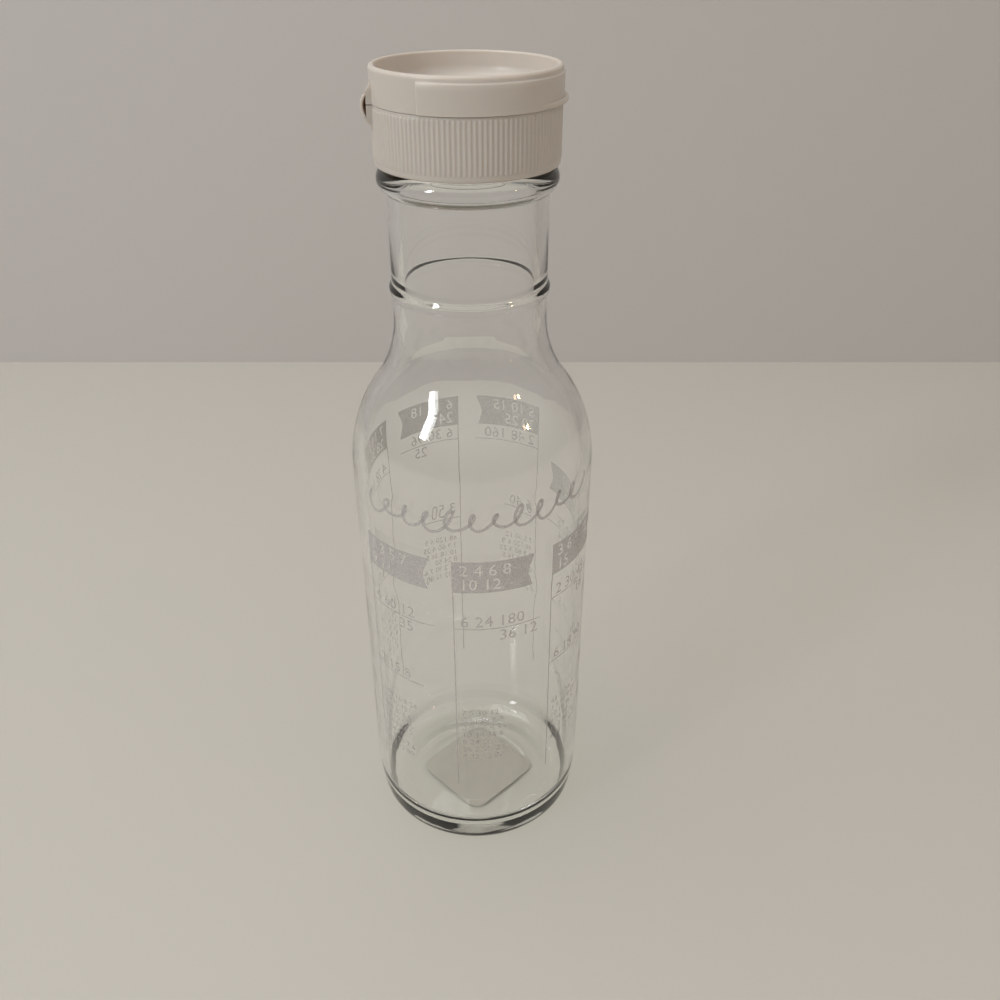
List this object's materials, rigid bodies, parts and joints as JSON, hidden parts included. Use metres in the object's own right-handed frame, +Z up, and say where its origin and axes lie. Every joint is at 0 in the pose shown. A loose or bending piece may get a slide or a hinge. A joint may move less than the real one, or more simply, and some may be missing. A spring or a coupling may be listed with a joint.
{
  "type": "salad dressing shaker bottle",
  "caption": "Clear round glass dressing bottle with a long neck, a ribbed screw cap and a flip lid on a double film hinge over a pour hole.",
  "frame": {"origin": "centre of the bearing ring under the bottle, on the surface that it stands on", "axes": "+Z up along the bottle's axis, -Y towards the side with the main print, -X towards the hinge of the lid, +X towards its thumb tab"},
  "size_m": [0.0636, 0.0636, 0.215],
  "materials": {
    "clear_glass": "clear polished soda-lime glass with a faint green tint",
    "label_paper": "matt grey paper label",
    "gasket_foam": "soft white polyethylene foam",
    "cap_plastic": "semi-gloss warm white polypropylene",
    "lid_plastic": "semi-gloss warm white polypropylene"
  },
  "bodies": {
    "bottle": {"glass_bottle": "clear_glass", "base_label": "label_paper"},
    "gasket": {"sealing_gasket": "gasket_foam"},
    "cap": {"screw_cap": "cap_plastic"},
    "strap": {"hinge_strap": "cap_plastic"},
    "lid": {"flip_lid": "lid_plastic"}
  },
  "joints": [
    {"name": "cap_rise", "type": "slide", "parent": "bottle", "child": "gasket", "axis": [0, 0, 1], "range_m": [0, 0.0127]},
    {"name": "cap_turn", "type": "hinge", "parent": "gasket", "child": "cap", "pos_m": [0, 0, 0.2052], "axis": [0, 0, 1], "range_deg": [0, 1080]},
    {"name": "strap_fold", "type": "hinge", "parent": "cap", "child": "strap", "pos_m": [-0.02175, 0, 0.205], "axis": [0, -1, 0], "range_deg": [0, 90]},
    {"name": "lid_open", "type": "hinge", "parent": "strap", "child": "lid", "pos_m": [-0.02175, 0, 0.2091], "axis": [0, -1, 0], "range_deg": [0, 90]}
  ],
  "couplings": [
    {"joint": "cap_turn", "follows": "cap_rise", "rad_per_m": 1484.2},
    {"joint": "strap_fold", "follows": "lid_open", "ratio": 1}
  ]
}
